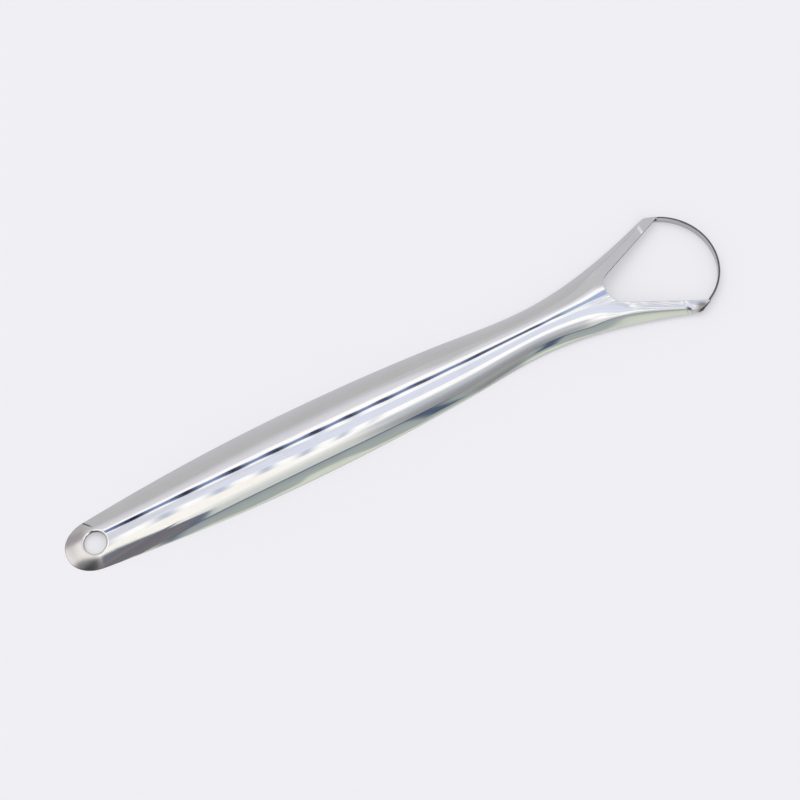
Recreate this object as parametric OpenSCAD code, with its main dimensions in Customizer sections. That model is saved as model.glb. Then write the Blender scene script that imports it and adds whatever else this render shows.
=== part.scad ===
// Tongue scraper: a handle pressed from one sheet, forked at the head, and a thin
// scraping band bent round the fork and welded to its two tips.
// It lies on its rims and on the lower edge of the band.
// +X runs from the hang hole to the band, +Z is up, and the origin is in the middle
// of the footprint.

/* [Overall] */
// Length from the rounded end to the front of the band
overall_length = 148.5; // [140:0.5:175]
// Thickness of the sheet that the handle is pressed from
sheet = 0.6; // [0.4:0.05:0.8]

/* [Hang end] */
// Length of the rounded end, from its tip to where the channel begins
end_length = 5.75; // [5:0.05:7]
// Distance from the rounded end to the centre of the hang hole
hole_inset = 6.25; // [5.75:0.05:9]
// Width of the handle at the hang hole
end_width = 10.8; // [10:0.1:13]
// Height of the arch at the hang hole
end_height = 1.3; // [1:0.1:2]
// Diameter of the hang hole
hole_diameter = 4.6; // [3:0.1:5.2]
// Width of the chamfer round the upper edge of the hang hole
hole_chamfer = 0.3; // [0.1:0.05:0.35]
// Depth of that chamfer
hole_sink = 0.12; // [0.1:0.02:0.3]

/* [Grip] */
// Distance from the rounded end to the widest place of the grip
grip_place = 52.25; // [40:0.25:60]
// Width of the grip at its widest place
grip_width = 15.9; // [14:0.1:20]
// Height of the arch at the widest place
grip_height = 4; // [2.5:0.1:5]
// Distance from the front of the band back to the shoulder of the grip
shoulder_back = 62.25; // [58:0.25:68]
// Width at the shoulder
shoulder_width = 13.6; // [12:0.1:15]

/* [Neck] */
// Distance from the front of the band back to the narrowest place
neck_back = 43.25; // [40:0.25:48]
// Width at the narrowest place
neck_width = 10.8; // [9:0.1:12]
// Height of the arch at the narrowest place
neck_height = 2.85; // [2:0.05:3.5]
// Height of the rims above the resting plane at the neck
neck_lift = 0.35; // [0:0.05:1]

/* [Fork] */
// Distance from the front of the band back to the throat of the opening
throat_back = 25.6; // [23:0.1:28]
// Distance from the throat to where the straight edges of the opening begin
throat_depth = 2; // [1:0.1:3]
// Width of the opening where its straight edges begin
throat_width = 7.3; // [6:0.1:8]
// Angle of each straight edge to the handle's axis
fork_angle = 23.8; // [21:0.1:25]
// Height of the arch at the throat
throat_height = 2.6; // [1.8:0.1:3]
// Distance from the front of the band back to the outer corners of the fork
corner_back = 11.5; // [10.5:0.05:12]
// How far each outer corner of the fork stands inside the outer face of the loop
head_inset = 0.45; // [0.3:0.05:0.8]
// Height of the arch at the fork tips
tip_height = 1.45; // [1:0.05:1.6]
// Height of the rims above the resting plane at the fork tips
tip_lift = 0.75; // [0.7:0.05:1.2]
// Step up of the fork tips, where they ride over the ends of the band
joggle = 0.1; // [0:0.05:0.3]
// Distance from the front of the band back to the step in the fork tips
joggle_back = 12.25; // [12:0.05:14]
// Slope of the outer wall of each fork arm, in degrees from level
wall_angle = 50; // [40:1:60]
// Slope of that wall past the step
tip_wall_angle = 66; // [55:1:75]

/* [Band] */
// Outer radius of the loop that the band is bent to
loop_radius = 12.2; // [11.5:0.05:13]
// Thickness of the band
band_thickness = 0.5; // [0.3:0.05:0.6]
// Height of the band across the opening
band_height = 1.7; // [1.4:0.1:2.5]
// Chamfer along the edges of the band
band_chamfer = 0.1; // [0.05:0.05:0.12]
// Distance along the loop from the end of each tab to the outer corner of its fork tip
tab_inset = 0.6; // [0:0.05:1]
// Clearance between a tab and the fork tip above it
tab_gap = 0.05; // [0.02:0.01:0.1]
// Radius of the ball that each weld bead is a cap of
weld_radius = 0.9; // [0.7:0.05:1]
// Height of each weld bead above the face of the band
weld_rise = 0.25; // [0.15:0.05:0.3]
// Height of the middle of each weld bead above the resting plane
weld_height = 0.7; // [0.65:0.05:0.9]

/* [Hidden] */
$fn = 96;

// Amount that a cutting shape runs past what it cuts
overrun = 5;

// Steps of the sheet round the end, along the channel, up the step, past it and across
end_steps = 7;
channel_steps = 44;
joggle_steps = 2;
tip_steps = 4;
across_steps = 20;
// Steps along half of the throat's curve
throat_steps = 8;

// Width over the outer corners of the fork
head_width = 2 * (loop_radius - head_inset);

// Places along the handle, from the rounded end
shoulder_place = overall_length - shoulder_back;
neck_place = overall_length - neck_back;
throat_place = overall_length - throat_back;
corner_place = overall_length - corner_back;
joggle_place = overall_length - joggle_back;
loop_place = overall_length - loop_radius;
straight_place = throat_place + throat_depth;
joggle_run = 1.5 * sheet;
bend_start = (neck_place + straight_place) / 2;
form_end = loop_place + loop_radius / 2;

// Slopes of the outline, of the arch and of the rims, as rise over run
end_flare = 0.105;
shoulder_flare = -0.072;
head_flare = 0.34;
end_climb = 0.12;
throat_fall = -0.03;
tip_fall = -0.09;
neck_climb = 0.02;

// How square each section is: 2 is a parabola, and more has flatter tops and steeper walls
end_fullness = 2.6;
grip_fullness = 3;
throat_fullness = 4;
tip_fullness = 7;
throat_squaring = 0.1 / throat_depth;
tip_squaring = 0.2 / throat_depth;
// Share of the height that each section loses as a parabola
crest_share = 0.35;
// Softness of the bend between the flat top of each fork arm and its outer wall
bend_share = 0.12;
bend_peak = (1 + crest_share + norm([1 - crest_share, bend_share])) / 2;
// How square the rounded end is in plan: 2 is an ellipse
plan_fullness = 2.2;

// Stations along the handle, each [place, value, slope]
half_widths = [
    [hole_inset, end_width / 2, end_flare],
    [grip_place, grip_width / 2, 0],
    [shoulder_place, shoulder_width / 2, shoulder_flare],
    [neck_place, neck_width / 2, 0],
    [corner_place, head_width / 2, head_flare]
];
heights = [
    [hole_inset, end_height, end_climb],
    [grip_place, grip_height, 0],
    [neck_place, neck_height, 0],
    [straight_place, throat_height, throat_fall],
    [corner_place, tip_height, tip_fall]
];
lifts = [
    [hole_inset, 0, 0],
    [shoulder_place, 0, 0],
    [neck_place, neck_lift, neck_climb],
    [corner_place, tip_lift, 0]
];
fullnesses = [
    [hole_inset, end_fullness, 0],
    [grip_place, grip_fullness, 0],
    [neck_place, grip_fullness, 0],
    [straight_place, throat_fullness, throat_squaring],
    [corner_place, tip_fullness, tip_squaring]
];

// Index of the station that begins the stretch holding x
function stretch(stations, x, i = 0) =
    i >= len(stations) - 2 || x < stations[i + 1][0] ? i : stretch(stations, x, i + 1);

// Cubic curve between two stations, with the slope given at each
function between(a, b, x) =
    let (run = b[0] - a[0], u = (x - a[0]) / run)
    a[1] * (1 + 2 * u) * pow(1 - u, 2) + b[1] * (3 - 2 * u) * pow(u, 2)
        + run * u * (1 - u) * (a[2] * (1 - u) - b[2] * u);

// Smooth curve through all the stations, straight past the first and the last
function along(stations, x) =
    let (first = stations[0], last = stations[len(stations) - 1], i = stretch(stations, x))
    x < first[0] ? first[1] + first[2] * (x - first[0])
        : x > last[0] ? last[1] + last[2] * (x - last[0])
        : between(stations[i], stations[i + 1], x);

// Eases from 0 to 1
function eased(u) = let (v = min(max(u, 0), 1)) (3 - 2 * v) * pow(v, 2);

// Step up at the fork tips
function joggle_rise(x) = joggle * eased((x - joggle_place) / joggle_run);

// Share of the rise that is lost at share out of the half width. Up to the neck the
// section is one arch, and the fork arms have a flat top and a sloping outer wall
function drop(x, out, rise, half) =
    let (
        crown = crest_share * pow(out, 2),
        arch = crown + (1 - crest_share) * pow(out, along(fullnesses, x)),
        angle = wall_angle + (tip_wall_angle - wall_angle) * eased((x - joggle_place) / joggle_run),
        wall = 1 - (1 - out) * half * tan(angle) / rise,
        flank = (crown + wall + norm([crown - wall, bend_share])) / 2 / bend_peak,
        part = eased((x - bend_start) / (straight_place - bend_start))
    )
    arch + (flank - arch) * part;

// A point of the sheet's face that lies inset below its outer face,
// at place x and at share v of the half width
function face_point(x, v, inset) =
    let (
        u = min(max((end_length - x) / (end_length - inset), 0), 1),
        closing = pow(1 - pow(u, plan_fullness), 1 / plan_fullness),
        across = abs(v) * closing,
        out = min(pow(pow(across, plan_fullness) + pow(u, plan_fullness), 1 / plan_fullness), 1),
        half = along(half_widths, x) - inset,
        rise = along(heights, x) - inset,
        base = along(lifts, x) + joggle_rise(x)
    )
    [x, v * half * closing, base + rise * (1 - drop(x, out, rise, half))];

// Places of the sheet's rows on the face at the inset, from the rounded end to past the fork
function end_rows(inset) = [
    for (i = [1 : end_steps]) end_length - (end_length - inset) * cos(90 * i / end_steps)
];
function rows_between(a, b, steps) = [for (i = [1 : steps]) a + (b - a) * i / steps];
function rows(inset) = concat(
    end_rows(inset),
    rows_between(end_length, joggle_place, channel_steps),
    rows_between(joggle_place, joggle_place + joggle_run, joggle_steps),
    rows_between(joggle_place + joggle_run, form_end, tip_steps)
);
function face_points(inset) = [
    for (x = rows(inset)) for (j = [0 : across_steps])
        face_point(x, sin(180 * j / across_steps - 90), inset)
];

// Two triangles of a four-cornered patch, split alike on both sides of the axis
function patch(a, b, c, d, flip) = flip ? [[a, b, d], [b, c, d]] : [[a, b, c], [a, c, d]];

// The pressed sheet before it is pierced and trimmed
module sheet_form() {
    wide = across_steps + 1;
    count = len(rows(0));
    inner = count * wide;
    outer_tip = 2 * inner;
    inner_tip = outer_tip + 1;
    last = (count - 1) * wide;
    points = concat(face_points(0), face_points(sheet), [[0, 0, 0], [sheet, 0, 0]]);
    middle = across_steps / 2;
    faces = concat(
        [for (i = [0 : count - 2]) for (j = [0 : across_steps - 1]) let (a = i * wide + j)
            each patch(a, a + 1, a + wide + 1, a + wide, j < middle)],
        [for (i = [0 : count - 2]) for (j = [0 : across_steps - 1]) let (a = inner + i * wide + j)
            each patch(a + 1, a, a + wide, a + wide + 1, j >= middle)],
        [for (j = [0 : across_steps - 1]) [outer_tip, j + 1, j]],
        [for (j = [0 : across_steps - 1]) [inner_tip, inner + j, inner + j + 1]],
        [for (i = [0 : count - 2]) let (a = i * wide)
            each patch(inner + a, a, a + wide, inner + a + wide, false)],
        [for (i = [0 : count - 2]) let (a = i * wide + across_steps)
            each patch(a, inner + a, inner + a + wide, a + wide, true)],
        patch(outer_tip, 0, inner, inner_tip, true),
        patch(inner_tip, inner + across_steps, across_steps, outer_tip, false),
        [for (j = [0 : across_steps - 1]) let (a = last + j)
            each patch(a, a + 1, inner + a + 1, inner + a, j < middle)]
    );
    polyhedron(points, faces);
}

// Half of the throat's curve, from its middle to where the straight edge begins
function throat_curve() =
    let (
        pull = throat_depth / 0.75 / cos(fork_angle),
        start = [straight_place, throat_width / 2],
        lead = start - pull * [cos(fork_angle), sin(fork_angle)]
    )
    [for (i = [0 : throat_steps]) let (t = (1 + i / throat_steps) / 2, s = 1 - t) [
        start[0] * (pow(s, 3) + pow(t, 3)) + lead[0] * 3 * s * t,
        start[1] * (pow(t, 3) - pow(s, 3)) + lead[1] * 3 * s * t * (t - s)
    ]];

// Opening of the head, as a tool that passes through the sheet
module fork_opening() {
    half = throat_curve();
    reach = overall_length + overrun;
    far = throat_width / 2 + (reach - straight_place) * tan(fork_angle);
    other_half = [for (i = [len(half) - 1 : -1 : 1]) [half[i][0], -half[i][1]]];
    translate([0, 0, -overrun])
        linear_extrude(height = grip_height + 2 * overrun)
            polygon(concat(half, [[reach, far], [reach, -far]], other_half));
}

// What is cut off outside the loop, so that the fork tips end on its circle
module fork_trim() {
    deep = loop_radius + overrun;
    difference() {
        translate([loop_place, -deep, -overrun])
            cube([deep, 2 * deep, grip_height + 2 * overrun]);
        translate([loop_place, 0, -2 * overrun])
            cylinder(h = grip_height + 4 * overrun, r = loop_radius);
    }
}

// Hang hole, square to the sheet, with its chamfer
module hang_bore() {
    radius = hole_diameter / 2;
    translate([hole_inset, 0, end_height])
        rotate([0, -atan(end_climb), 0]) {
            translate([0, 0, -overrun])
                cylinder(h = 2 * overrun, r = radius);
            translate([0, 0, -hole_sink])
                cylinder(h = 2 * hole_sink, r1 = radius, r2 = radius + 2 * hole_chamfer);
        }
}

// Handle: one sheet, arched along its whole length and open below
module handle() {
    color("silver")
        difference() {
            sheet_form();
            fork_opening();
            fork_trim();
            hang_bore();
        }
}

// Height of the tabs, which the rims of the fork tips lie on
tab_height = tip_lift - tab_gap;
// Angle, seen from the loop's centre, at which a line meets the loop. The line passes
// through the point at place and half, and slants away from the axis
function meeting(place, half, slant) =
    let (
        start = place - loop_place - half / tan(slant),
        reach = sqrt(pow(loop_radius, 2) - pow(start * sin(slant), 2)) - start * cos(slant)
    )
    atan2(reach * sin(slant), start + reach * cos(slant));
// Angles of the inner and the outer end of each fork tip on the loop
meet_angle = meeting(straight_place, throat_width / 2, fork_angle);
outer_angle = meeting(corner_place, head_width / 2, atan(head_flare));
// Half angle of the band that stands clear of the fork tips
free_angle = meet_angle - tab_gap / loop_radius * 180 / PI;
// Angle that the tab at each end of the band takes up on the loop, under the fork tip
tab_angle = outer_angle - meet_angle - tab_inset / loop_radius * 180 / PI;
// Place of the weld bead along the tab, from its open end
weld_share = 0.75;
// Sides of the ball that each weld bead is a cap of
weld_sides = 32;

// Section of the band, in the plane that is swept round the loop
module band_section() {
    inside = loop_radius - band_thickness;
    polygon([
        [inside + band_chamfer, 0],
        [loop_radius - band_chamfer, 0],
        [loop_radius, band_chamfer],
        [loop_radius, band_height - band_chamfer],
        [loop_radius - band_chamfer, band_height],
        [inside + band_chamfer, band_height],
        [inside, band_height - band_chamfer],
        [inside, band_chamfer]
    ]);
}

// Scraping band: an upright strip bent to a loop, cut down to low tabs at its ends
module scraping_band() {
    half_angle = meet_angle + tab_angle;
    wide = loop_radius + overrun;
    color([0.74, 0.75, 0.78])
        translate([loop_place, 0, 0])
            difference() {
                rotate([0, 0, -half_angle])
                    rotate_extrude(angle = 2 * half_angle)
                        band_section();
                translate([loop_radius * cos(free_angle) - wide, -wide, tab_height])
                    cube([wide, 2 * wide, band_height]);
            }
}

// Weld bead across the seam of a fork tip and its tab, on the side given by 1 or -1:
// a cap of a ball on a flat base that touches the outer face of the loop
module weld(side) {
    angle = side * (meet_angle + tab_angle * weld_share);
    wide = 2 * weld_radius;
    color([0.36, 0.34, 0.37])
        translate([loop_place, 0, 0])
            rotate([0, 0, angle])
                difference() {
                    translate([loop_radius + weld_rise - weld_radius, 0, weld_height])
                        hull()
                            sphere(r = weld_radius, $fn = weld_sides);
                    translate([loop_radius - 2 * wide, -wide, weld_height - wide])
                        cube(2 * wide);
                }
}

module left_weld() {
    weld(1);
}

module right_weld() {
    weld(-1);
}

// Moves the part, drawn from its rounded end, to the middle of its footprint
module centred() {
    translate([-overall_length / 2, 0, 0])
        children();
}

centred() handle();
centred() scraping_band();
centred() left_weld();
centred() right_weld();
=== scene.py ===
"""Tongue scraper of polished stainless steel: a forked sheet handle with a thin scraping band."""

import math

import bmesh
import bpy
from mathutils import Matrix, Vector, noise

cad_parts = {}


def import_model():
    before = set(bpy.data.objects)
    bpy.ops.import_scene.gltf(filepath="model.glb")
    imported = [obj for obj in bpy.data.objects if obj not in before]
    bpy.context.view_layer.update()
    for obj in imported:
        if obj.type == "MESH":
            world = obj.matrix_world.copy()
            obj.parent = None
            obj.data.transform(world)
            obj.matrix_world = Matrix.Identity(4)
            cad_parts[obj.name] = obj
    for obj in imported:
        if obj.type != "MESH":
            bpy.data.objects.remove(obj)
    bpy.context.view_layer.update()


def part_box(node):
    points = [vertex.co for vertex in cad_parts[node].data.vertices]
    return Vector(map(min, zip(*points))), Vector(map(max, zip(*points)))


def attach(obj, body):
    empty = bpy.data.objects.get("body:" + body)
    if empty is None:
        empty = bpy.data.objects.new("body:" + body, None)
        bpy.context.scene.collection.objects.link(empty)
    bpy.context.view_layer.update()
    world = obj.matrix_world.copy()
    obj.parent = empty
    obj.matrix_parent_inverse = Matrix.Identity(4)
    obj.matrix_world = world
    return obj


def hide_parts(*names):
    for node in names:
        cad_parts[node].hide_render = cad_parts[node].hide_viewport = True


bl_info = {
    "name": "Tongue scraper",
    "version": (1, 0, 0),
    "blender": (4, 5, 0),
    "location": "3D View > Sidebar > Scraper",
    "description": "Models a polished steel tongue scraper and a small studio round it",
    "category": "Add Mesh",
}

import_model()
BODY = "root"
MM = 0.001


def length(name, description, millimetres):
    """A length that a user may change, given in millimetres and kept in metres."""
    return bpy.props.FloatProperty(
        name=name, description=description, default=millimetres * MM, min=0, precision=5, unit="LENGTH"
    )


def share(name, description, value):
    """A plain number that a user may change."""
    return bpy.props.FloatProperty(name=name, description=description, default=value, precision=3)


def turn(name, description, degrees):
    """An angle that a user may change, given in degrees and kept in radians."""
    return bpy.props.FloatProperty(
        name=name, description=description, default=math.radians(degrees), subtype="ANGLE"
    )


def linear(code):
    """Linear red, green and blue of an sRGB hex colour."""
    parts = [int(code[i:i + 2], 16) / 255 for i in (1, 3, 5)]
    return [p / 12.92 if p <= 0.04045 else ((p + 0.055) / 1.055) ** 2.4 for p in parts]


def tint(name, description, code):
    """A colour that a user may change, given as an sRGB hex code."""
    return bpy.props.FloatVectorProperty(
        name=name, description=description, default=linear(code), size=3, min=0, max=1, subtype="COLOR"
    )


class HandleSizes(bpy.types.PropertyGroup):
    """Sizes of the pressed sheet. A place is measured from the rounded end."""

    overall: length("Overall length", "From the rounded end to the front of the band", 148.5)
    sheet: length("Sheet", "Thickness of the sheet", 0.6)
    end: length("Rounded end", "Length of the rounded end", 5.75)
    hole_place: length("Hole place", "From the rounded end to the middle of the hang hole", 6.25)
    hole_radius: length("Hole radius", "Radius of the hang hole", 2.3)
    hole_chamfer: length("Hole chamfer", "Width of the chamfer round the hang hole", 0.3)
    hole_sink: length("Hole chamfer depth", "Depth of that chamfer", 0.12)
    end_width: length("End width", "Width at the hang hole", 10.8)
    end_height: length("End height", "Height of the arch at the hang hole", 1.3)
    grip_place: length("Grip place", "Place of the widest stretch", 52.25)
    grip_width: length("Grip width", "Width at the widest stretch", 15.9)
    grip_height: length("Grip height", "Height of the arch at the widest stretch", 4)
    shoulder_place: length("Shoulder place", "Place where the grip begins to draw in", 86.25)
    shoulder_width: length("Shoulder width", "Width at the shoulder", 13.6)
    neck_place: length("Neck place", "Place of the narrowest stretch", 105.25)
    neck_width: length("Neck width", "Width at the narrowest stretch", 10.8)
    neck_height: length("Neck height", "Height of the arch at the neck", 2.85)
    neck_lift: length("Neck lift", "Height of the rims above the floor at the neck", 0.35)
    throat_place: length("Throat place", "Place of the throat of the opening", 122.9)
    throat_depth: length("Throat depth", "From the throat to the straight edges", 2)
    throat_width: length("Throat width", "Width of the opening where its straight edges begin", 7.3)
    fork_angle: turn("Fork angle", "Angle of each straight edge to the axis", 23.8)
    throat_height: length("Throat height", "Height of the arch at the throat", 2.6)
    corner_place: length("Corner place", "Place of the outer corners of the fork", 137)
    head_width: length("Head width", "Width over the outer corners of the fork", 23.5)
    tip_height: length("Tip height", "Height of the arch at the fork tips", 1.45)
    tip_lift: length("Tip lift", "Height of the rims above the floor at the fork tips", 0.75)
    joggle: length("Joggle", "Step up of the fork tips where they ride over the band", 0.1)
    joggle_place: length("Joggle place", "Place of that step", 136.25)
    wall_angle: turn("Wall angle", "Slope of the outer wall of each fork arm", 50)
    tip_wall_angle: turn("Tip wall angle", "The same past the joggle", 66)
    edge_radius: length("Edge radius", "Rounding of the tumbled edges", 0.09)
    row_step: length("Row step", "Distance between the rows of the mesh", 0.5)
    columns: bpy.props.IntProperty(name="Columns", description="Faces across half of the sheet", default=34)


class BandSizes(bpy.types.PropertyGroup):
    """Sizes of the scraping band and of its welds."""

    radius: length("Loop radius", "Outer radius of the loop", 12.2)
    thickness: length("Thickness", "Thickness of the strip", 0.5)
    height: length("Height", "Height of the strip across the opening", 1.7)
    rounding: length("Rounding", "Rounding of the strip's edges", 0.12)
    tab_height: length("Tab height", "Height of the tabs under the fork tips", 0.7)
    tab_inset: length("Tab inset", "From the end of a tab to the fork's outer corner", 0.6)
    tab_gap: length("Tab gap", "Clearance between the band and a fork tip", 0.05)
    weld_length: length("Weld length", "Length of a weld bead along the seam", 1.25)
    weld_width: length("Weld width", "Width of a weld bead", 1.15)
    weld_rise: length("Weld rise", "Height of a weld bead above the strip", 0.2)
    weld_place: share("Weld place", "Place of a weld along its tab, from the open end", 0.75)
    weld_ripples: bpy.props.IntProperty(name="Ripples", description="Ripples along a bead", default=4)


class Finishes(bpy.types.PropertyGroup):
    """Colours of the steel and of the studio."""

    steel: tint("Steel", "Polished stainless sheet", "#C4C4C5")
    dull: tint("Underside", "Satin underside of the sheet", "#B4B3B2")
    edge: tint("Edge", "Tumbled cut edge", "#CBCAC6")
    # Rough cut metal, its dark colour partly painted shade.
    sheared_and_shade: tint("Sheared edge", "Bare cut face of the sheet and the strip", "#525256")
    # Painted shade: the bore's dark colour stands in for the shade inside the hang hole.
    bore_shade: tint("Bore", "Dark pierced wall of the hang hole", "#2E2E32")
    rubbed: tint("Rubbed end", "Satin of the rounded end", "#B6B3B2")
    strip: tint("Strip", "Polished strip of the band", "#C0C0C4")
    weld: tint("Weld", "Dull weld bead", "#66635E")
    scorch: tint("Scorch", "Brown heat mark by the right weld", "#6C665A")
    # Painted shade: a dark patch in the bend of the right fork tip.
    bend_shade: tint("Dent", "Dark dent in the bend of the right fork tip", "#30343A")
    floor: tint("Floor", "Pale floor", "#F0EFF4")


def smooth(u):
    """Eases from 0 to 1."""
    u = min(max(u, 0), 1)
    return u * u * (3 - 2 * u)


def between(a, b, x):
    """Cubic curve between two stations, each a place, a value and a slope."""
    run = b[0] - a[0]
    u = (x - a[0]) / run
    ends = a[1] * (1 + 2 * u) * (1 - u) ** 2 + b[1] * (3 - 2 * u) * u ** 2
    return ends + run * u * (1 - u) * (a[2] * (1 - u) - b[2] * u)


def along(stations, x):
    """Smooth curve through all the stations, straight past the first and the last."""
    first = stations[0]
    last = stations[-1]
    if x < first[0]:
        return first[1] + first[2] * (x - first[0])
    if x > last[0]:
        return last[1] + last[2] * (x - last[0])
    for a, b in zip(stations, stations[1:]):
        if x <= b[0]:
            return between(a, b, x)


def spaced(curve, steps, fine=90):
    """Points of curve(share), shares from 0 to 1, at equal distances along it."""
    points = [curve(i / fine) for i in range(fine + 1)]
    walked = [0]
    for a, b in zip(points, points[1:]):
        walked.append(walked[-1] + (b - a).length)
    made = []
    i = 0
    for j in range(steps + 1):
        goal = walked[-1] * j / steps
        while i < fine - 1 and walked[i + 1] < goal:
            i += 1
        part = (goal - walked[i]) / (walked[i + 1] - walked[i])
        made.append(curve((i + part) / fine))
    return made


class Sheet:
    """The form of the pressed sheet, worked out from the handle's sizes."""

    # Slopes of the sheet in plan, then of its crown, then of its rims.
    end_flare = 0.105
    shoulder_flare = -0.072
    head_flare = 0.34
    end_climb = 0.12
    throat_fall = -0.03
    tip_fall = -0.09
    neck_climb = 0.02
    # Exponents of the section, where 2 is round and more is fuller, and what a throat's depth adds.
    end_fullness = 2.6
    grip_fullness = 3
    throat_fullness = 4
    tip_fullness = 7
    throat_gain = 0.1
    tip_gain = 0.2
    # Exponent of the rounded end in plan.
    plan_fullness = 2.2
    # The round share of the crown, the softness of the bend to the wall, and that bend's peak.
    crest_share = 0.35
    bend_share = 0.12
    bend_peak = (1 + crest_share + math.hypot(1 - crest_share, bend_share)) / 2
    # Length of the joggle in thicknesses of the sheet, lean of the rows, and place of the painted shade in
    # the bend.
    joggle_share = 1.5
    skew_share = 0.14
    bend_shade_inset = 0.85 * MM

    def __init__(self, sizes, band):
        self.sizes = sizes
        self.band = band
        self.origin_place = sizes.overall / 2
        self.loop_place = sizes.overall - band.radius
        self.straight_place = sizes.throat_place + sizes.throat_depth
        self.bend_start = (sizes.neck_place + self.straight_place) / 2
        self.joggle_run = self.joggle_share * sizes.sheet
        self.half_widths = [
            (sizes.hole_place, sizes.end_width / 2, self.end_flare),
            (sizes.grip_place, sizes.grip_width / 2, 0),
            (sizes.shoulder_place, sizes.shoulder_width / 2, self.shoulder_flare),
            (sizes.neck_place, sizes.neck_width / 2, 0),
            (sizes.corner_place, sizes.head_width / 2, self.head_flare),
        ]
        self.heights = [
            (sizes.hole_place, sizes.end_height, self.end_climb),
            (sizes.grip_place, sizes.grip_height, 0),
            (sizes.neck_place, sizes.neck_height, 0),
            (self.straight_place, sizes.throat_height, self.throat_fall),
            (sizes.corner_place, sizes.tip_height, self.tip_fall),
        ]
        self.lifts = [
            (sizes.hole_place, 0, 0),
            (sizes.shoulder_place, 0, 0),
            (sizes.neck_place, sizes.neck_lift, self.neck_climb),
            (sizes.corner_place, sizes.tip_lift, 0),
        ]
        self.fullnesses = [
            (sizes.hole_place, self.end_fullness, 0),
            (sizes.grip_place, self.grip_fullness, 0),
            (sizes.neck_place, self.grip_fullness, 0),
            (self.straight_place, self.throat_fullness, self.throat_gain / sizes.throat_depth),
            (sizes.corner_place, self.tip_fullness, self.tip_gain / sizes.throat_depth),
        ]
        self.meet = self.meeting(self.straight_place, sizes.throat_width / 2, sizes.fork_angle)
        slant = math.atan(self.head_flare)
        self.corner = self.meeting(sizes.corner_place, sizes.head_width / 2, slant)
        self.inner_corner = self.meeting(sizes.corner_place, sizes.head_width / 2 - sizes.sheet, slant)
        self.skew_run = sizes.throat_place - sizes.shoulder_place
        self.skew_reach = self.skew_share * self.skew_run
        self.opening = self.opening_points()

    def meeting(self, place, half, slant):
        """Angle on the loop at which a line meets it that leaves the axis at a slant."""
        start = place - self.loop_place - half / math.tan(slant)
        across = start * math.sin(slant)
        reach = math.sqrt(self.band.radius ** 2 - across ** 2) - start * math.cos(slant)
        return math.atan2(reach * math.sin(slant), start + reach * math.cos(slant))

    def half_width(self, x, inset):
        return along(self.half_widths, x) - inset

    def out(self, x, y, inset):
        """How far out a place is: 0 on the crest and 1 on the rim."""
        k = self.plan_fullness
        u = min(max((self.sizes.end - x) / (self.sizes.end - inset), 0), 1)
        across = abs(y) / self.half_width(x, inset)
        return (across ** k + u ** k) ** (1 / k)

    def height(self, x, y, inset):
        """Height of the sheet's face over the place x, y."""
        step = self.sizes.joggle * smooth((x - self.sizes.joggle_place) / self.joggle_run)
        base = along(self.lifts, x) + step
        out = min(self.out(x, y, inset), 1)
        rise = along(self.heights, x) - inset
        return base + rise * (1 - self.drop(x, out, rise, self.half_width(x, inset)))

    def drop(self, x, out, rise, half):
        """Share of the rise that is lost at share out of the half width.

        Up to the neck the section is one arch. The fork arms have a flat top and a sloping wall.
        """
        sizes = self.sizes
        full = along(self.fullnesses, x)
        arch = (1 - self.crest_share) * out ** full + self.crest_share * out ** 2
        part = smooth((x - self.bend_start) / (self.straight_place - self.bend_start))
        if part == 0:
            return arch
        past_joggle = smooth((x - sizes.joggle_place) / self.joggle_run)
        angle = sizes.wall_angle + (sizes.tip_wall_angle - sizes.wall_angle) * past_joggle
        wall = 1 - (1 - out) * half * math.tan(angle) / rise
        crown = self.crest_share * out ** 2
        flank = (crown + wall + math.hypot(crown - wall, self.bend_share)) / 2 / self.bend_peak
        return arch + (flank - arch) * part

    def on_face(self, x, y, inset):
        return Vector((x, y, self.height(x, y, inset)))

    def at(self, x, v, inset):
        """A point of the face at share v of the half width."""
        return self.on_face(x, v * self.half_width(x, inset), inset)

    def skew(self, x):
        """How far a row's outer end lies behind its middle."""
        return self.skew_reach * smooth((x - self.sizes.shoulder_place) / self.skew_run)

    def opening_points(self):
        """Half of the opening's outline, from the throat to the loop."""
        sizes = self.sizes
        # The middle of a cubic lies 3/4 of the way to its two inner points.
        pull = sizes.throat_depth / 0.75 / math.cos(sizes.fork_angle)
        start = Vector((self.straight_place, sizes.throat_width / 2))
        lead = start - pull * Vector((math.cos(sizes.fork_angle), math.sin(sizes.fork_angle)))
        points = []
        steps = 120
        for i in range(steps + 1):
            t = (1 + i / steps) / 2
            r = 1 - t
            x = start.x * (r ** 3 + t ** 3) + lead.x * 3 * r * t
            y = start.y * (t ** 3 - r ** 3) + lead.y * 3 * r * t * (t - r)
            points.append(Vector((x, y)))
        points.append(self.on_loop(self.meet))
        return points

    def on_loop(self, angle):
        reach = self.band.radius
        return Vector((self.loop_place + reach * math.cos(angle), reach * math.sin(angle)))

    def opening_at(self, t):
        """Point of the opening's outline at share t of its length."""
        lengths = [(b - a).length for a, b in zip(self.opening, self.opening[1:])]
        goal = sum(lengths) * t
        for a, b, step in zip(self.opening, self.opening[1:], lengths):
            if goal <= step:
                return a.lerp(b, goal / step)
            goal -= step
        return self.opening[-1].copy()

    def share_of(self, place, inset):
        """Place and share of the half width of a point in plan."""
        return Vector((place.x, place.y / self.half_width(place.x, inset)))

    def weld_angle(self):
        """Angle on the loop at which the left weld lies."""
        band = self.band
        tab = self.corner - band.tab_inset / band.radius - self.meet
        return self.meet + tab * band.weld_place

    def weld_spot(self):
        """Place of the right weld on the loop, in plan and in the frame of the part."""
        place = self.on_loop(-self.weld_angle())
        return Vector((place.x - self.origin_place, place.y, 0))

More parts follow.
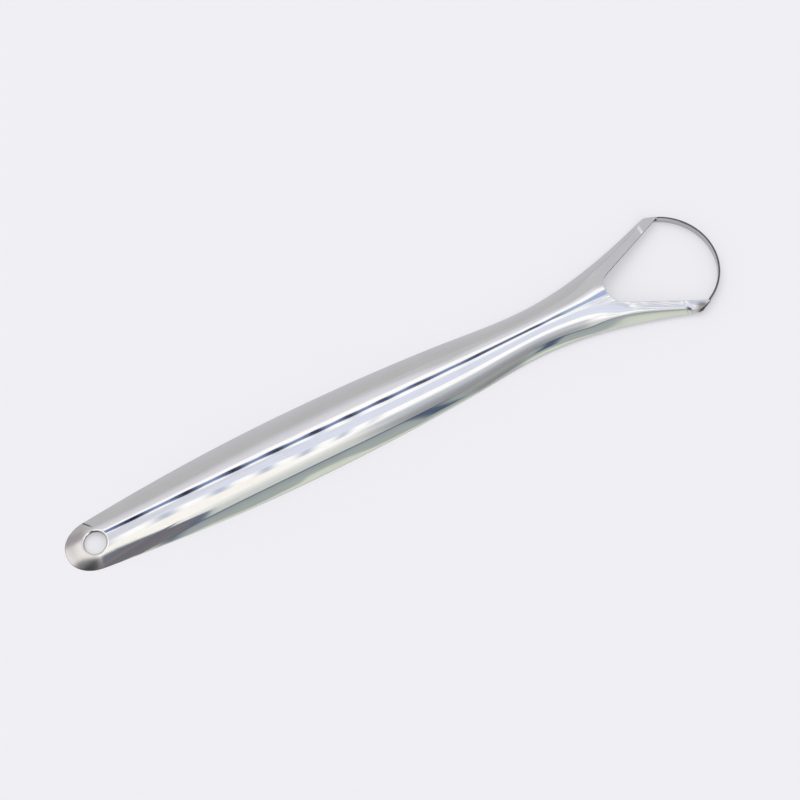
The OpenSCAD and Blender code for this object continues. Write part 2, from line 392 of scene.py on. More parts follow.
    def bend_shade_spot(self):
        """Place of the painted shade where the right fork tip's step crosses the bend of its wall, in plan.
        """
        x = self.sizes.joggle_place + self.joggle_run / 4
        y = self.bend_shade_inset - self.half_width(x, 0)
        return Vector((x - self.origin_place, y, 0))

    def body_row(self, x, inset):
        reach = self.skew(x)
        return lambda c: self.at(x - reach * c, c, inset)

    def arm_row(self, t, inset):
        """Row of a fork arm, from the opening's outline at share t to the rim."""
        corner = self.corner if inset == 0 else self.inner_corner
        rim_start = self.sizes.throat_place - self.skew_reach
        rim_end = self.on_loop(corner).x
        inner = self.share_of(self.opening_at(t), inset)
        outer = Vector((rim_start + (rim_end - rim_start) * t, 1))
        first = self.share_of(self.opening[0], inset)
        last = self.share_of(self.opening[-1], inset)

        def point(c):
            behind = Vector((self.sizes.throat_place - self.skew_reach * c, c))
            ahead = self.share_of(self.on_loop(self.meet + (corner - self.meet) * c), inset)
            sides = inner * (1 - c) + outer * c + behind * (1 - t) + ahead * t
            ends_here = (first * (1 - t) + last * t) * (1 - c)
            ends_there = (Vector((rim_start, 1)) * (1 - t) + Vector((rim_end, 1)) * t) * c
            place = sides - ends_here - ends_there
            return self.at(place.x, place.y, inset)

        return point

    def rim_at(self, angle, inset):
        """Rim of the rounded end in the direction of an angle, seen from the hang hole."""
        way = Vector((math.cos(angle), math.sin(angle)))
        centre = Vector((self.sizes.hole_place, 0))
        near = 0
        far = 2 * self.sizes.hole_place
        halvings = 50
        for _ in range(halvings):
            reach = (near + far) / 2
            place = centre + way * reach
            inside = place.x > inset and self.out(place.x, place.y, inset) < 1
            near, far = (reach, far) if inside else (near, reach)
        place = centre + way * near
        return Vector((place.x, place.y, self.height(place.x, place.y, inset)))


def column(rows, i):
    return [row[i] for row in rows]


def settled(mesh, name):
    """The mesh as Blender keeps it, once nothing more is added."""
    data = bpy.data.meshes.new(name)
    mesh.to_mesh(data)
    mesh.free()
    return data


class Skin:
    """Points and faces of half a mesh, on the left of the axis, that is mirrored later."""

    merge_reach = 0.0005 * MM
    decimals = 5

    def __init__(self):
        self.mesh = bmesh.new()
        self.seen = {}

    def corner(self, point):
        key = tuple(round(c / MM, self.decimals) for c in point)
        if key not in self.seen:
            self.seen[key] = self.mesh.verts.new(point)
        return self.seen[key]

    def strip(self, row, other, kind):
        """A strip of faces between two rows of as many points."""
        for i in range(len(row) - 1):
            corners = []
            for point in (row[i], row[i + 1], other[i + 1], other[i]):
                vert = self.corner(point)
                if vert not in corners:
                    corners.append(vert)
            if len(corners) > 2:
                face = self.mesh.faces.new(corners)
                face.material_index = kind
                face.smooth = True

    def grid(self, rows, kind):
        for a, b in zip(rows, rows[1:]):
            self.strip(a, b, kind)

    def finish(self, name):
        """Adds the mirrored half, joins both and turns the faces outwards."""
        mesh = self.mesh
        half = mesh.verts[:] + mesh.edges[:] + mesh.faces[:]
        copy = bmesh.ops.duplicate(mesh, geom=half)["geom"]
        for vert in copy:
            if isinstance(vert, bmesh.types.BMVert):
                vert.co.y = -vert.co.y
        bmesh.ops.remove_doubles(mesh, verts=mesh.verts, dist=self.merge_reach)
        bmesh.ops.recalc_face_normals(mesh, faces=mesh.faces)
        return settled(mesh, name)


OUTER, UNDER, CHAMFER, CUT, BORE = range(5)


def hole_ring(sheet, angles, radius, drop):
    """Places in plan of a ring round the hang hole's axis, at a depth under the outer face."""
    sizes = sheet.sizes
    tilt = math.atan(sheet.end_climb)
    ring = []
    for angle in angles:
        x = sizes.hole_place + radius * math.cos(angle) * math.cos(tilt) + drop * math.sin(tilt)
        y = radius * math.sin(angle)
        ring.append((x, y))
    return ring


def end_rays(sheet, inset, join_row, rim_steps, ray_steps, radius):
    """Rays of the rounded end's face, from the hang hole out to the rim and the first row."""
    sizes = sheet.sizes
    centre = Vector((sizes.hole_place, 0, 0))
    edge = join_row[-1] - centre
    last_angle = math.atan2(edge.y, edge.x)
    rim = []
    for i in range(rim_steps):
        rim.append(sheet.rim_at(math.pi + (last_angle - math.pi) * i / rim_steps, inset))
    outline = rim + join_row[::-1]
    angles = [math.atan2(p.y, p.x - sizes.hole_place) for p in outline]
    # The first point is on the axis, where rounding may turn the sign.
    angles[0] = math.pi
    ring = hole_ring(sheet, angles, radius, inset)
    rays = []
    for (x, y), end in zip(ring, outline):
        ray = []
        for i in range(ray_steps):
            part = i / ray_steps
            ray.append(sheet.on_face(x + (end.x - x) * part, y + (end.y - y) * part, inset))
        rays.append(ray + [end])
    return rays, angles


def handle_mesh(sheet, rim_steps=40, ray_steps=16, arm_step_share=0.62):
    """The whole handle: both faces, rims, opening, hang hole and fork tips."""
    sizes = sheet.sizes
    skin = Skin()
    # The first row lies about as far past the hang hole as the rounded rim lies before it.
    join = 2 * sizes.hole_place - sizes.hole_chamfer
    body_steps = round((sizes.throat_place - join) / sizes.row_step)
    places = [join + (sizes.throat_place - join) * i / body_steps for i in range(body_steps + 1)]
    arm_length = (sheet.on_loop(sheet.meet).x - sizes.throat_place) / math.cos(sizes.fork_angle)
    arm_steps = round(arm_length / sizes.row_step / arm_step_share)
    faces = []
    for inset, kind in ((0, OUTER), (sizes.sheet, UNDER)):
        body = [spaced(sheet.body_row(x, inset), sizes.columns) for x in places]
        arm = [body[-1]]
        for i in range(1, arm_steps + 1):
            arm.append(spaced(sheet.arm_row(i / arm_steps, inset), sizes.columns))
        hole = sizes.hole_radius + (sizes.hole_chamfer if inset == 0 else 0)
        rays, angles = end_rays(sheet, inset, body[0], rim_steps, ray_steps, hole)
        skin.grid(body, kind)
        skin.grid(arm, kind)
        skin.grid(rays, kind)
        faces.append((body, arm, rays, angles))
    (body, arm, rays, angles), (body_in, arm_in, rays_in, _) = faces
    skin.strip(column(body, -1), column(body_in, -1), CUT)
    skin.strip(column(arm, -1), column(arm_in, -1), CUT)
    skin.strip(column(arm, 0), column(arm_in, 0), CUT)
    skin.strip(arm[-1], arm_in[-1], CUT)
    to_rim = slice(rim_steps + 1)
    skin.strip(column(rays[to_rim], -1), column(rays_in[to_rim], -1), CUT)
    ring = column(rays, 0)
    lower = hole_ring(sheet, angles, sizes.hole_radius, sizes.hole_sink)
    lower = [Vector((x, y, top.z - sizes.hole_sink)) for (x, y), top in zip(lower, ring)]
    skin.strip(ring, lower, CHAMFER)
    skin.strip(lower, column(rays_in, 0), BORE)
    return skin.finish("handle")


def link(data, name, materials=()):
    """An object of the data, in the frame of the part, with its materials."""
    for material in materials:
        data.materials.append(material)
    made = bpy.data.objects.new(name, data)
    bpy.context.scene.collection.objects.link(made)
    return made


def flat_faces(piece):
    """Shades the flat faces of a piece flat beside its rounded edges."""
    normals = piece.modifiers.new("Flat faces", "WEIGHTED_NORMAL")
    normals.keep_sharp = True


def new_material(name):
    """A new material and its tree of nodes."""
    material = bpy.data.materials.new(name)
    material.use_nodes = True
    return material, material.node_tree


def node(tree, kind, inputs=None, **settings):
    """Adds a node with these settings, sets or links its inputs, and gives its outputs."""
    made = tree.nodes.new(kind)
    for key, value in settings.items():
        setattr(made, key, value)
    for key, value in (inputs or {}).items():
        if isinstance(value, bpy.types.NodeSocket):
            tree.links.new(value, made.inputs[key])
        else:
            made.inputs[key].default_value = value
    return made.outputs


def darker(colour, factor):
    """The same colour with this share of its light."""
    return [c * factor for c in colour]


def steel_material(name, colour, roughness, spread=0.04, shade=0.92, grain=0.1, depth=0.001, waves=0.001):
    """Stainless steel: fine grain along the handle, uneven polish and a faint waviness.

    spread is how far the roughness varies and shade the darkest tone's share of the colour. grain is
    the width of a grain line, and depth and waves are the heights of the grain and of the waviness,
    in millimetres.
    """
    grain_stretch = 12
    cloud_size = 9 * MM
    wave_length = 16 * MM
    wave_width = 5 * MM
    material, tree = new_material(name)
    shader = tree.nodes["Principled BSDF"].inputs
    shader["Metallic"].default_value = 1
    place = node(tree, "ShaderNodeTexCoord")["Object"]
    scale = 1 / (grain * MM)
    lines = node(
        tree, "ShaderNodeMapping", {"Vector": place, "Scale": (scale / grain_stretch, scale, scale)}
    )["Vector"]
    lines = node(
        tree, "ShaderNodeTexNoise", {"Vector": lines, "Scale": 1, "Detail": 3, "Roughness": 0.6}
    )["Fac"]
    cloud = node(
        tree, "ShaderNodeTexNoise",
        {"Vector": place, "Scale": 1 / cloud_size, "Detail": 3, "Roughness": 0.55},
    )["Fac"]
    wave = node(
        tree, "ShaderNodeMapping",
        {"Vector": place, "Scale": (1 / wave_length, 1 / wave_width, 1 / wave_width)},
    )["Vector"]
    wave = node(tree, "ShaderNodeTexNoise", {"Vector": wave, "Scale": 1, "Detail": 1})["Fac"]
    uneven = node(tree, "ShaderNodeMath", {0: cloud, 1: lines}, operation="MULTIPLY")[0]
    uneven = node(
        tree, "ShaderNodeMapRange", {"Value": uneven, "From Min": 0.1, "From Max": 0.45}
    )["Result"]
    tone = node(
        tree, "ShaderNodeMix", {0: uneven, 6: (*colour, 1), 7: (*darker(colour, shade), 1)},
        data_type="RGBA",
    )[2]
    tree.links.new(tone, shader["Base Color"])
    polish = node(tree, "ShaderNodeMapRange", {
        "Value": lines, "From Min": 0.3, "From Max": 0.7,
        "To Min": roughness - spread, "To Max": roughness + spread,
    })["Result"]
    tree.links.new(polish, shader["Roughness"])
    wavy = node(tree, "ShaderNodeBump", {"Height": wave, "Strength": 1, "Distance": waves * MM})[0]
    lined = node(
        tree, "ShaderNodeBump",
        {"Height": lines, "Normal": wavy, "Strength": 1, "Distance": depth * MM},
    )[0]
    tree.links.new(lined, shader["Normal"])
    return material


def cover(material, colour, part):
    """Lays a colour over a steel, as much of it as the output of a node says."""
    tree = material.node_tree
    base = tree.nodes["Principled BSDF"].inputs["Base Color"]
    under = base.links[0].from_socket
    tone = node(tree, "ShaderNodeMix", {0: part, 6: under, 7: (*colour, 1)}, data_type="RGBA")[2]
    tree.links.new(tone, base)


def rub(material, edge, width, colour, roughness):
    """Dulls a steel on the side of lower x than edge, as a hand-rubbed end of the sheet.

    A short crease crosses the left side of the sheet just past the edge, its shade painted in dark.
    """
    crease_slope = 0.7
    crease_place = 3.7 * MM
    crease_edge = 0.3 * MM
    crease_core = 0.05 * MM
    crease_start = 3 * MM
    crease_full = 4.2 * MM
    crease_shade = 0.2
    tree = material.node_tree
    shader = tree.nodes["Principled BSDF"].inputs
    x, y, _ = node(tree, "ShaderNodeSeparateXYZ", {0: node(tree, "ShaderNodeTexCoord")["Object"]})
    slant = node(
        tree, "ShaderNodeMath", {0: y, 1: crease_slope, 2: -edge - crease_place},
        operation="MULTIPLY_ADD",
    )[0]
    away = node(tree, "ShaderNodeMath", {0: x, 1: slant}, operation="ADD")[0]
    away = node(tree, "ShaderNodeMath", {0: away}, operation="ABSOLUTE")[0]
    shares = []
    for value, start, end in (
        (x, edge + width / 2, edge - width / 2),
        (away, crease_edge, crease_core),
        (y, crease_start, crease_full),
    ):
        span = {"Value": value, "From Min": start, "From Max": end}
        shares.append(node(tree, "ShaderNodeMapRange", span, interpolation_type="SMOOTHSTEP")["Result"])
    rubbed, near, outer = shares
    polish = shader["Roughness"].links[0].from_socket
    polish = node(tree, "ShaderNodeMix", {0: rubbed, 2: polish, 3: roughness})[0]
    tree.links.new(polish, shader["Roughness"])
    painted_crease_shade = node(tree, "ShaderNodeMath", {0: near, 1: outer}, operation="MULTIPLY")[0]
    cover(material, colour, rubbed)
    # Painted shade along the crease.
    cover(material, darker(colour, crease_shade), painted_crease_shade)


def spot(material, centre, reach, colour, strength, width=1, angle=0):
    """A soft mark on a steel, used for the heat mark of welding and for painted shade in the bend of a fork
    tip.

    reach is half of its length, width its width as a share of the length and angle its turn in plan.
    """
    core = 0.3
    tree = material.node_tree
    place = node(tree, "ShaderNodeTexCoord")["Object"]
    place = node(tree, "ShaderNodeVectorMath", {0: place, 1: (1, 1, 0)}, operation="MULTIPLY")[0]
    size = (reach, reach * width, 1)
    place = node(
        tree, "ShaderNodeMapping",
        {"Vector": place, "Location": centre, "Rotation": (0, 0, angle), "Scale": size},
        vector_type="TEXTURE",
    )["Vector"]
    away = node(tree, "ShaderNodeVectorMath", {0: place}, operation="LENGTH")["Value"]
    marked = node(
        tree, "ShaderNodeMapRange", {"Value": away, "From Min": 1, "From Max": core, "To Max": strength},
        interpolation_type="SMOOTHSTEP",
    )["Result"]
    cover(material, colour, marked)


class SCRAPER_OT_handle(bpy.types.Operator):
    """Model the arched and forked handle"""

    bl_idname = "scraper.handle"
    bl_label = "Handle"

    def execute(self, context):
        scene = context.scene
        sizes = scene.scraper_handle
        sheet = Sheet(sizes, scene.scraper_band)
        data = handle_mesh(sheet)
        for vert in data.vertices:
            vert.co.x -= sheet.origin_place
        piece = link(data, "pressed_handle", self.finishes(sheet, scene.scraper_finishes))
        bevel = piece.modifiers.new("Tumbled edges", "BEVEL")
        bevel.width = sizes.edge_radius
        bevel.segments = 3
        bevel.limit_method = "ANGLE"
        bevel.angle_limit = math.radians(32)
        flat_faces(piece)
        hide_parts("handle")
        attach(piece, BODY)
        return {"FINISHED"}

    def finishes(self, sheet, colours):
        """The sheet's materials, in the order of the kinds of face."""
        # A machine polish mirrors the studio, with a hair-fine grain along the handle.
        polished = steel_material(
            "Polished_stainless", colours.steel, roughness=0.05,
            spread=0.01, grain=0.12, depth=0.0001, waves=0.0006,
        )
        edge = sheet.sizes.end - sheet.origin_place
        rub(polished, edge, width=1.6 * MM, colour=colours.rubbed, roughness=0.17)
        spot(polished, sheet.weld_spot(), reach=2 * MM, colour=colours.scorch, strength=0.75)
        # Painted shade where the right fork tip's step crosses the bend of its wall.
        spot(
            polished, sheet.bend_shade_spot(), reach=0.9 * MM, colour=colours.bend_shade, strength=0.8,
            width=0.45, angle=math.radians(-50),
        )
        # Sheared rims are rough; their colour is darkened further as painted shade under the arch.
        rim = darker(colours.sheared_and_shade, 0.4)
        return [
            polished,
            # The underside isn't polished and only glows softly.
            steel_material("Satin_stainless", colours.dull, roughness=0.3, spread=0.05, waves=0.002),
            # Tumbling leaves the chamfer smooth and bright.
            steel_material("Tumbled_edge", colours.edge, roughness=0.12),
            steel_material("Sheared_edge", rim, roughness=0.35, spread=0.05, shade=0.8),
            # The pierced wall is scored by the punch; its dark colour is painted shade in the hang hole.
            steel_material("Pierced_bore", colours.bore_shade, roughness=0.4, spread=0.05, shade=0.8),
        ]


def band_tree():
    """Geometry nodes: a strip with rounded edges bent to a loop, cut low at its ends."""
    tree = bpy.data.node_groups.new("Bent band", "GeometryNodeTree")
    lengths = ("Radius", "Thickness", "Height", "Rounding", "Tab height", "Place")
    angles = ("Half angle", "Free half angle")
    kinds = {**dict.fromkeys(lengths + angles, "Float"), "Steps": "Int", "Material": "Material"}
    for name, kind in kinds.items():
        tree.interface.new_socket(name, in_out="INPUT", socket_type="NodeSocket" + kind)
    tree.interface.new_socket("Geometry", in_out="OUTPUT", socket_type="NodeSocketGeometry")
    known = {socket.name: socket for socket in node(tree, "NodeGroupInput")}
    place = node(tree, "GeometryNodeInputPosition")[0]
    known.update(zip("xyz", node(tree, "ShaderNodeSeparateXYZ", {0: place})))
    for name, operation, *values in (
        ("Middle radius", "MULTIPLY_ADD", "Thickness", -0.5, "Radius"),
        ("Start angle", "MULTIPLY", "Half angle", -1),
        ("Sweep angle", "MULTIPLY", "Half angle", 2),
        ("Angle", "ARCTAN2", "y", "x"),
        ("Angle to the axis", "ABSOLUTE", "Angle"),
        ("Is tab", "GREATER_THAN", "Angle to the axis", "Free half angle"),
        ("Raised", "MULTIPLY_ADD", "Height", 0.5, "z"),
        ("Squeeze", "DIVIDE", "Tab height", "Height"),
        ("Low", "MULTIPLY", "Raised", "Squeeze"),
        ("Ahead", "ADD", "x", "Place"),
    ):
        inputs = {i: known.get(value, value) for i, value in enumerate(values)}
        known[name] = node(tree, "ShaderNodeMath", inputs, operation=operation)[0]
    arc = node(tree, "GeometryNodeCurveArc", {
        "Resolution": known["Steps"], "Radius": known["Middle radius"],
        "Start Angle": known["Start angle"], "Sweep Angle": known["Sweep angle"],
    }, mode="RADIUS")["Curve"]
    upright = node(tree, "GeometryNodeSetCurveNormal", {"Curve": arc}, mode="Z_UP")["Curve"]
    section = node(
        tree, "GeometryNodeCurvePrimitiveQuadrilateral",
        {"Width": known["Thickness"], "Height": known["Height"]}, mode="RECTANGLE",
    )["Curve"]
    rounded = node(
        tree, "GeometryNodeFilletCurve", {"Curve": section, "Count": 5, "Radius": known["Rounding"]},
        mode="POLY",
    )["Curve"]
    strip = node(
        tree, "GeometryNodeCurveToMesh", {"Curve": upright, "Profile Curve": rounded, "Fill Caps": True}
    )["Mesh"]
    heights = {"Switch": known["Is tab"], "False": known["Raised"], "True": known["Low"]}
    height = node(tree, "GeometryNodeSwitch", heights, input_type="FLOAT")[0]
    moved = node(tree, "ShaderNodeCombineXYZ", {"X": known["Ahead"], "Y": known["y"], "Z": height})[0]
    bent = node(tree, "GeometryNodeSetPosition", {"Geometry": strip, "Position": moved})[0]
    whole = node(tree, "GeometryNodeRealizeInstances", {"Geometry": bent})[0]
    dressed = node(tree, "GeometryNodeSetMaterial", {"Geometry": whole, "Material": known["Material"]})[0]
    node(tree, "NodeGroupOutput", {"Geometry": dressed})
    return tree


def grown(tree, name, values):
    """A plain mesh made by a tree of geometry nodes with these inputs."""
    holder = link(bpy.data.meshes.new(name + "_seed"), name + "_holder")
    modifier = holder.modifiers.new("Nodes", "NODES")
    modifier.node_group = tree
    for item in tree.interface.items_tree:
        if item.in_out == "INPUT":
            modifier[item.identifier] = values[item.name]
    graph = bpy.context.evaluated_depsgraph_get()
    data = bpy.data.meshes.new_from_object(holder.evaluated_get(graph), depsgraph=graph)
    data.name = name
    bpy.data.objects.remove(holder)
    return data


class SCRAPER_OT_band(bpy.types.Operator):
    """Bend the scraping band round the fork"""

    bl_idname = "scraper.band"
    bl_label = "Scraping band"

    def execute(self, context):
        scene = context.scene
        sizes = scene.scraper_band
        colours = scene.scraper_finishes
        sheet = Sheet(scene.scraper_handle, sizes)
        # The strip is polished less than the sheet, so what it mirrors is a little soft.
        polished = steel_material("Polished_strip", colours.strip, roughness=0.1, spread=0.03, depth=0.0004)
        spot(polished, sheet.weld_spot(), reach=2.6 * MM, colour=colours.scorch, strength=0.75)
        data = grown(band_tree(), "scraping_strip", {
            "Radius": sizes.radius,
            "Thickness": sizes.thickness,
            "Height": sizes.height,
            "Rounding": sizes.rounding,
            "Half angle": sheet.corner - sizes.tab_inset / sizes.radius,
            "Free half angle": sheet.meet - sizes.tab_gap / sizes.radius,
            "Tab height": sizes.tab_height,
            "Place": sheet.loop_place - sheet.origin_place,
            "Steps": 420,
            "Material": polished,
        })
        # The strip's upper and lower edges are sheared and rough; their darker colour is partly painted
        # shade.
        sheared_and_shade = steel_material("Sheared_strip", colours.sheared_and_shade, roughness=0.3, spread=0.05, shade=0.8)
        data.materials.append(sheared_and_shade)
        upright_limit = 0.9
        for face in data.polygons:
            face.use_smooth = True
            if abs(face.normal.z) > upright_limit:
                face.material_index = 1
        piece = link(data, "bent_band")
        flat_faces(piece)
        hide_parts("scraping_band")
        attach(piece, BODY)
        return {"FINISHED"}


def weld_mesh(sizes, name, seed):
    """A rippled bead: a flattened ball with small waves along its length."""
    ripple_depth = 0.05
    lump_depth = 0.12
    lumps = 1.6
    mesh = bmesh.new()
    bmesh.ops.create_icosphere(mesh, subdivisions=5, radius=1)
    for vert in mesh.verts:
        way = vert.co.copy()
        ripple = 1 + ripple_depth * math.cos(way.y * math.pi * sizes.weld_ripples)
        lump = 1 + lump_depth * noise.noise(way * lumps + Vector((seed, 0, 0)))
        vert.co.x = way.x * sizes.weld_rise * ripple * lump
        vert.co.y = way.y * sizes.weld_length / 2 * lump
        vert.co.z = way.z * sizes.weld_width / 2 * lump
    for face in mesh.faces:
        face.smooth = True
    return settled(mesh, name)


class SCRAPER_OT_welds(bpy.types.Operator):
    """Lay the weld beads that join the band to the fork tips"""

    bl_idname = "scraper.welds"
    bl_label = "Weld beads"

    def execute(self, context):
        scene = context.scene
        sizes = scene.scraper_band
        sheet = Sheet(scene.scraper_handle, sizes)
        # A bead left as it was welded is dull, uneven and brown-grey from the heat.
        metal = steel_material(
            "Weld_bead", scene.scraper_finishes.weld, roughness=0.38,
            spread=0.1, shade=0.7, grain=0.15, depth=0.004, waves=0.01,
        )
        loop_place = sheet.loop_place - sheet.origin_place
        for side, name in ((1, "left"), (-1, "right")):
            angle = side * sheet.weld_angle()
            low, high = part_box(name + "_weld")
            data = weld_mesh(sizes, name + "_bead", side)
            for vert in data.vertices:
                reach = sizes.radius + vert.co.x
                swing = angle + vert.co.y / sizes.radius
                vert.co.z += (low.z + high.z) / 2
                vert.co.x = loop_place + reach * math.cos(swing)
                vert.co.y = reach * math.sin(swing)
            piece = link(data, name + "_bead", [metal])
            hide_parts(name + "_weld")
            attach(piece, BODY)
        return {"FINISHED"}


class StudioSizes(bpy.types.PropertyGroup):
    """Places of the camera, the lamps and the floor."""

    target_y: bpy.props.FloatProperty(
        name="Target", description="Aim of the camera across the part", default=-0.45 * MM, unit="LENGTH"
    )
    distance: length("Camera distance", "From the camera to its target", 449)
    azimuth: turn("Camera azimuth", "Turn of the camera round the part", -27.8)
    elevation: turn("Camera elevation", "Height angle of the camera", 66.3)
    lens: share("Lens", "Focal length in millimetres on a 36 mm sensor", 99)
    ceiling: length("Lamp height", "Height of the lamp above the floor", 600)
    wall: length("Card distance", "From the part to the card in front of it", 346)
    floor_size: length("Floor", "Width of the floor", 4000)
    lamp: share("Lamp", "Brightness of the lamp where it is white", 1.88)
    room: share("Room", "Brightness of the room round the lamp, as the steel shows it", 0.85)
    shade: share("Room light", "Brightness with which the room lights the floor", 0.8)
    even: share("Even light", "Share of the floor's light that casts no shadow", 0.4)
    far_lamp: share("Far lamp", "Strength of the lamp behind the part, in watts per square metre", 0.72)
    far_lamp_size: turn("Far lamp size", "Width of that lamp, seen from the part", 50)
    far_lamp_height: turn("Far lamp height", "Height angle of that lamp", 58)
    far_lamp_turn: turn("Far lamp turn", "Turn of that lamp to the left of straight behind", 12)


def mix(a, b, part):
    """Blend of two colours."""
    part = min(max(part, 0), 1)
    return [p + (q - p) * part for p, q in zip(a, b)]


def past(x, edge, width):
    """Rises from 0 to 1 as x passes an edge of this width."""
    return smooth((x - edge) / width + 0.5)


def before(x, edge, width):
    """Falls from 1 to 0 as x passes an edge of this width."""
    return past(-x, -edge, width)


def patches(x, y, width, depth, seed):
    """Noise in patches of this width and depth."""
    return noise.noise(Vector((x / width, y / depth, seed)))


class Lamp:
    """What the steel reflects: a ribbed softbox overhead, and cards in front and on the left.

    Places are in millimetres from the middle of the part. Each edge between two tones is given by
    its place and its softness.
    """

    left_edge = -420
    right_edge = 450
    far_edge = 900
    white = linear("#FFFEFB")
    pewter = linear("#D2D3DA")
    lavender = linear("#D8DCE9")
    cream = linear("#F7F4EC")
    fringe = linear("#DBD9DF")
    far_left = linear("#B3B2B3")
    far_right = linear("#BBBBBD")
    satin = linear("#A2A0A4")
    side = linear("#A09EA2")
    navy = linear("#7A8BB4")
    ink = linear("#141C38")
    faded = linear("#A0AFCD")
    streak = linear("#B4BCCC")
    steel_blue = linear("#BCC1CF")
    dusk = linear("#64616B")
    ash = linear("#84827F")
    slate = linear("#5A6276")
    soot = linear("#3C4046")
    top = (linear("#EEECE7"), linear("#BEC1C8"))
    low = (linear("#C6CAC6"), linear("#929497"))
    line = linear("#6A757B")
    sage = (linear("#92999C"), linear("#9EA5A2"))
    clay = linear("#9A9894")
    stone = linear("#7A7C80")
    sill = linear("#CCD2C2")
    night = linear("#4C5A6E")
    # The ribs of the softbox, and its gap, which bends away from the place where it is nearest.
    ribs = (-240, -137, -72, -12, 36, 85, 120, 150, 174.5, 200, 260)
    gap_place = 212
    gap_turn = 120
    gap_bend = 0.00137
    # How strongly the steel's grain shades what it reflects.
    fine_grain = 0.06
    broad_grain = 0.05

    def rib(self, x):
        """1 at a rib of the softbox and 0 midway between two."""
        for a, b in zip(self.ribs, self.ribs[1:]):
            if x <= b:
                return 0.5 + 0.5 * math.cos(2 * math.pi * (x - a) / (b - a))
        return 0.5

    def brushed(self, colour, x, y):
        """Fine uneven shade, as the grain of the steel gives to what it reflects."""
        fine = patches(x, y, 7, 45, 0)
        broad = patches(x, y, 50, 12, 3)
        return [c * (1 + self.fine_grain * fine + self.broad_grain * broad) for c in colour]

    def gloom(self, x, y, edge):
        """The dark corner of the room, left of an edge."""
        grain = 0.5 + patches(x, y, 70, 17, 5)
        return mix(self.slate, mix(self.dusk, self.ash, grain), before(x, edge - 14, 26))

    def panel(self, x, y):
        """The softbox on the near side of its gap: a dull part and, below its turn, a bright one."""
        turn = -40 + 0.85 * max(40 - x, 0) - 40 * past(x, 50, 60)
        upper = mix(self.pewter, self.lavender, before(y, 130, 100))
        lower = mix(self.white, self.cream, before(y, turn - 110, 130) * before(x, 60, 120))
        lower = mix(lower, mix(*self.top, past(x, 130, 60)), before(y, -250, 130) * past(x, 110, 60))
        shadow = (1 - self.rib(x)) ** 2 * before(y, turn + 10, 50) * past(y, turn - 130, 60)
        return mix(upper, mix(lower, self.streak, shadow * before(x, 135, 20)), before(y, turn, 40))

    def mottled(self, x, y):
        """The uneven right end of the softbox, which only the fork's near arm shows."""
        patch = 0.5 + 1.6 * patches(x, y, 34, 11, 8)
        return mix(self.steel_blue, self.white, past(patch, 0.62, 0.5))

    def near_side(self, x, y, over):
        """The softbox before its gap, brightest beside it between the ribs."""
        unlit = (1 - 0.6 * past(x, 140, 20)) * self.rib(x) ** 2
        bright = past(over, -60 - 38 * past(x, 70, 80), 24) * (1 - unlit)
        return mix(mix(self.panel(x, y), self.white, bright), self.mottled(x, y), past(x, 222, 30))

    def far_side(self, x, over):
        """The softbox past its gap, its fringe, and the room, which comes closer at the right."""
        room = mix(self.far_left, self.far_right, past(x, 0, 160))
        end = past(x, 212, 40)
        far = mix(self.white, self.fringe, past(over, 104 - 24 * end, 50))
        far = mix(far, room, past(over, 330, 560))
        return mix(far, room, end * past(over, 140 - 115 * past(x, 262, 30), 60))

    def overhead(self, x, y):
        """The softbox with its dark gap, the room left of it, and the dark corner of the room."""
        over = y - (self.gap_place + self.gap_bend * (max(x, -190) - self.gap_turn) ** 2)
        colour = mix(self.near_side(x, y, over), self.far_side(x, over), past(over, 0, 8))
        rib = self.rib(x)
        half_gap = 22 + 9 * rib + 0.08 * max(-x, 0)
        gap = mix(mix(self.navy, self.ink, rib ** 1.5), self.faded, past(x, 198, 14))
        colour = mix(colour, gap, past(over, -half_gap, 8) * before(over, half_gap, 12))
        left = mix(mix(self.white, self.satin, past(y, 430, 140)), self.side, before(x, -402, 40))
        colour = mix(colour, left, before(x, -235, 50))
        corner = -165 - (y + 100) * (0.21 if y < -100 else 0.95)
        dark = mix(self.gloom(x, y, corner), self.soot, before(x, -195, 50) * before(y, -60, 160))
        return self.brushed(mix(colour, dark, before(x, corner, 14)), x, y)

    def front(self, x, z):
        """The card in front: pale over a dark line, duller below it, with a dark patch and a pale sill."""
        upper = mix(*self.top, past(x, 130, 60))
        colour = mix(upper, mix(*self.low, past(x, 90, 60)), before(z, 430, 340))
        colour = mix(colour, self.line, before(z, 230, 10))
        colour = mix(colour, mix(*self.sage, before(z, 160, 120)), before(z, 204, 16))
        right = past(x, 132, 12) * before(z, 238, 30)
        colour = mix(colour, mix(self.clay, self.stone, before(z, 130, 80)), 0.8 * right)
        end = 119 + 10 * before(z, 110, 60)
        patch = past(x, 99, 6) * before(x, end, 6) * past(z, 98, 14) * before(z, 225, 26)
        colour = mix(colour, self.night, patch)
        corner = -96 + 44 * before(z, 430, 160) - 14 * before(z, 215, 40)
        colour = mix(colour, self.gloom(x, z, corner), before(x, corner, 10))
        middle = past(x, 17, 10) * before(x, 52, 20)
        sill = 62 + 50 * before(x, -35, 50) + 110 * before(x, -74, 24) + 34 * middle
        on_sill = before(z, sill, 16 + 40 * middle) * (1 - 0.6 * right)
        return self.brushed(mix(colour, self.sill, on_sill), x, z)

    def left(self, y, z):
        """The card on the left, darker towards the front."""
        return self.brushed(mix(self.side, self.soot, before(y, 0, 150)), y, z)


